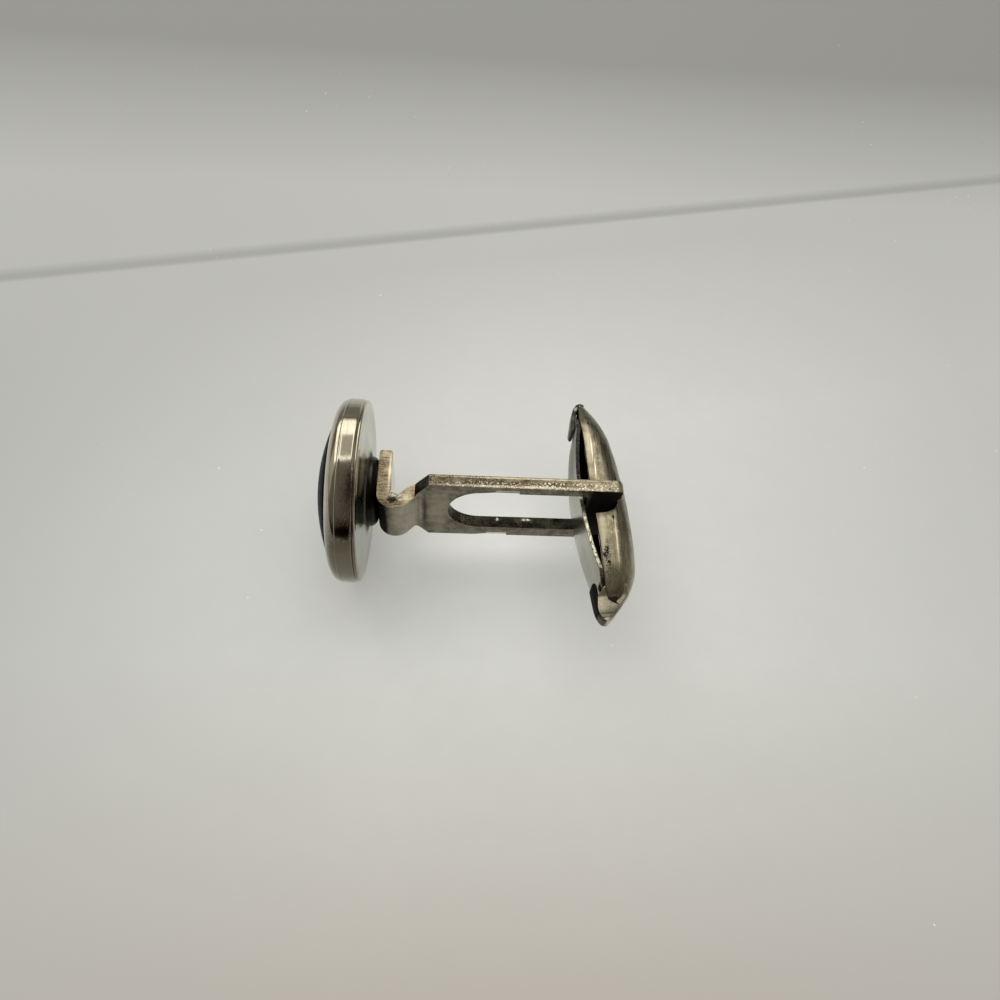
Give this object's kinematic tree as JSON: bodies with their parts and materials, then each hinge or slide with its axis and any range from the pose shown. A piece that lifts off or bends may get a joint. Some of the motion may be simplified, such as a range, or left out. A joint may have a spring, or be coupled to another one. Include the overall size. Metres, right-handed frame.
{
  "type": "cufflink",
  "caption": "Cufflink with a domed dark stone in a round polished bezel, a forked post bent from strap, and a swinging hollow toggle bar held by a leaf spring.",
  "frame": {"origin": "point where the middle plane of the forked post meets the outer face of the boss behind the head", "axes": "+X along the post away from the head, +Y up the toggle bar and through the strap's thickness, +Z along the toggle's pivot and across the strap's width"},
  "size_m": [0.0237, 0.0196, 0.014],
  "materials": {
    "plated_head": "polished",
    "boss_metal": "satin",
    "strap_metal": "satin",
    "shell_metal": "satin",
    "spring_metal": "polished",
    "dark_stone": "gloss",
    "cement": "matte"
  },
  "bodies": {
    "head_and_post": {"back_plate": "plated_head", "bezel": "plated_head", "stone_bed": "cement", "stone": "dark_stone", "boss": "boss_metal", "fork_post": "strap_metal"},
    "toggle": {"toggle_shell": "shell_metal", "leaf_spring": "spring_metal"}
  },
  "joints": [
    {"name": "toggle_swing", "type": "hinge", "parent": "head_and_post", "child": "toggle", "pos_m": [0.01685, 0, 0], "axis": [0, 0, 1], "range_deg": [-90, 90]}
  ]
}
